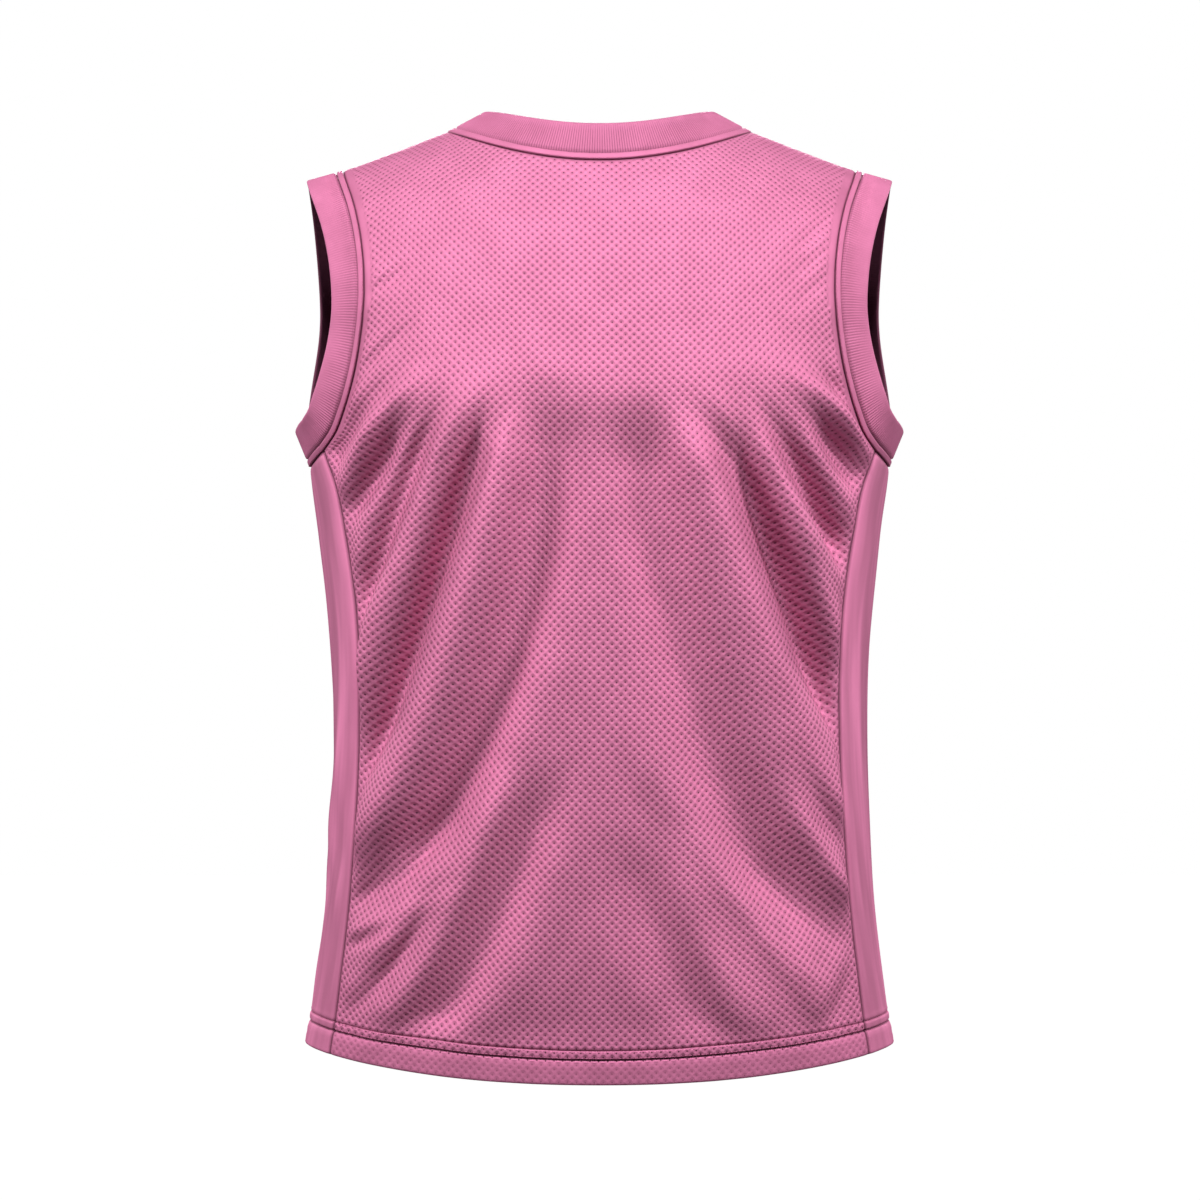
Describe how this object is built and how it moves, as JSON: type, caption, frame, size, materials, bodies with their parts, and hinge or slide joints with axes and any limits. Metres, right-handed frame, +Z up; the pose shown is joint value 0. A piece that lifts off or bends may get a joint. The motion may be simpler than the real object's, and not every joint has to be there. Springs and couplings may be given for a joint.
{
  "type": "sleeveless flag football jersey",
  "caption": "Sleeveless sports jersey of perforated knit, filled out as worn, with plain side panels, rib neck and armholes, and a curved hem.",
  "frame": {"origin": "midway between the two high shoulder points of the neck seam, where the wearer's shoulders carry the garment", "axes": "+Z up, +Y from the garment's back to its front, +X to the wearer's right"},
  "size_m": [0.4492, 0.2505, 0.71],
  "materials": {
    "pink_mesh": "perforated polyester knit, soft satin",
    "pink_plain_knit": "smooth polyester knit, soft satin",
    "pink_rib_knit": "fine rib knit, matt"
  },
  "bodies": {
    "root": {"back_panel": "pink_mesh", "front_panel": "pink_mesh", "side_panel_left": "pink_plain_knit", "side_panel_right": "pink_plain_knit", "neck_tape": "pink_plain_knit", "neck_rib": "pink_rib_knit", "armhole_tape_left": "pink_plain_knit", "armhole_tape_right": "pink_plain_knit", "armhole_rib_left": "pink_rib_knit", "armhole_rib_right": "pink_rib_knit"}
  },
  "joints": []
}
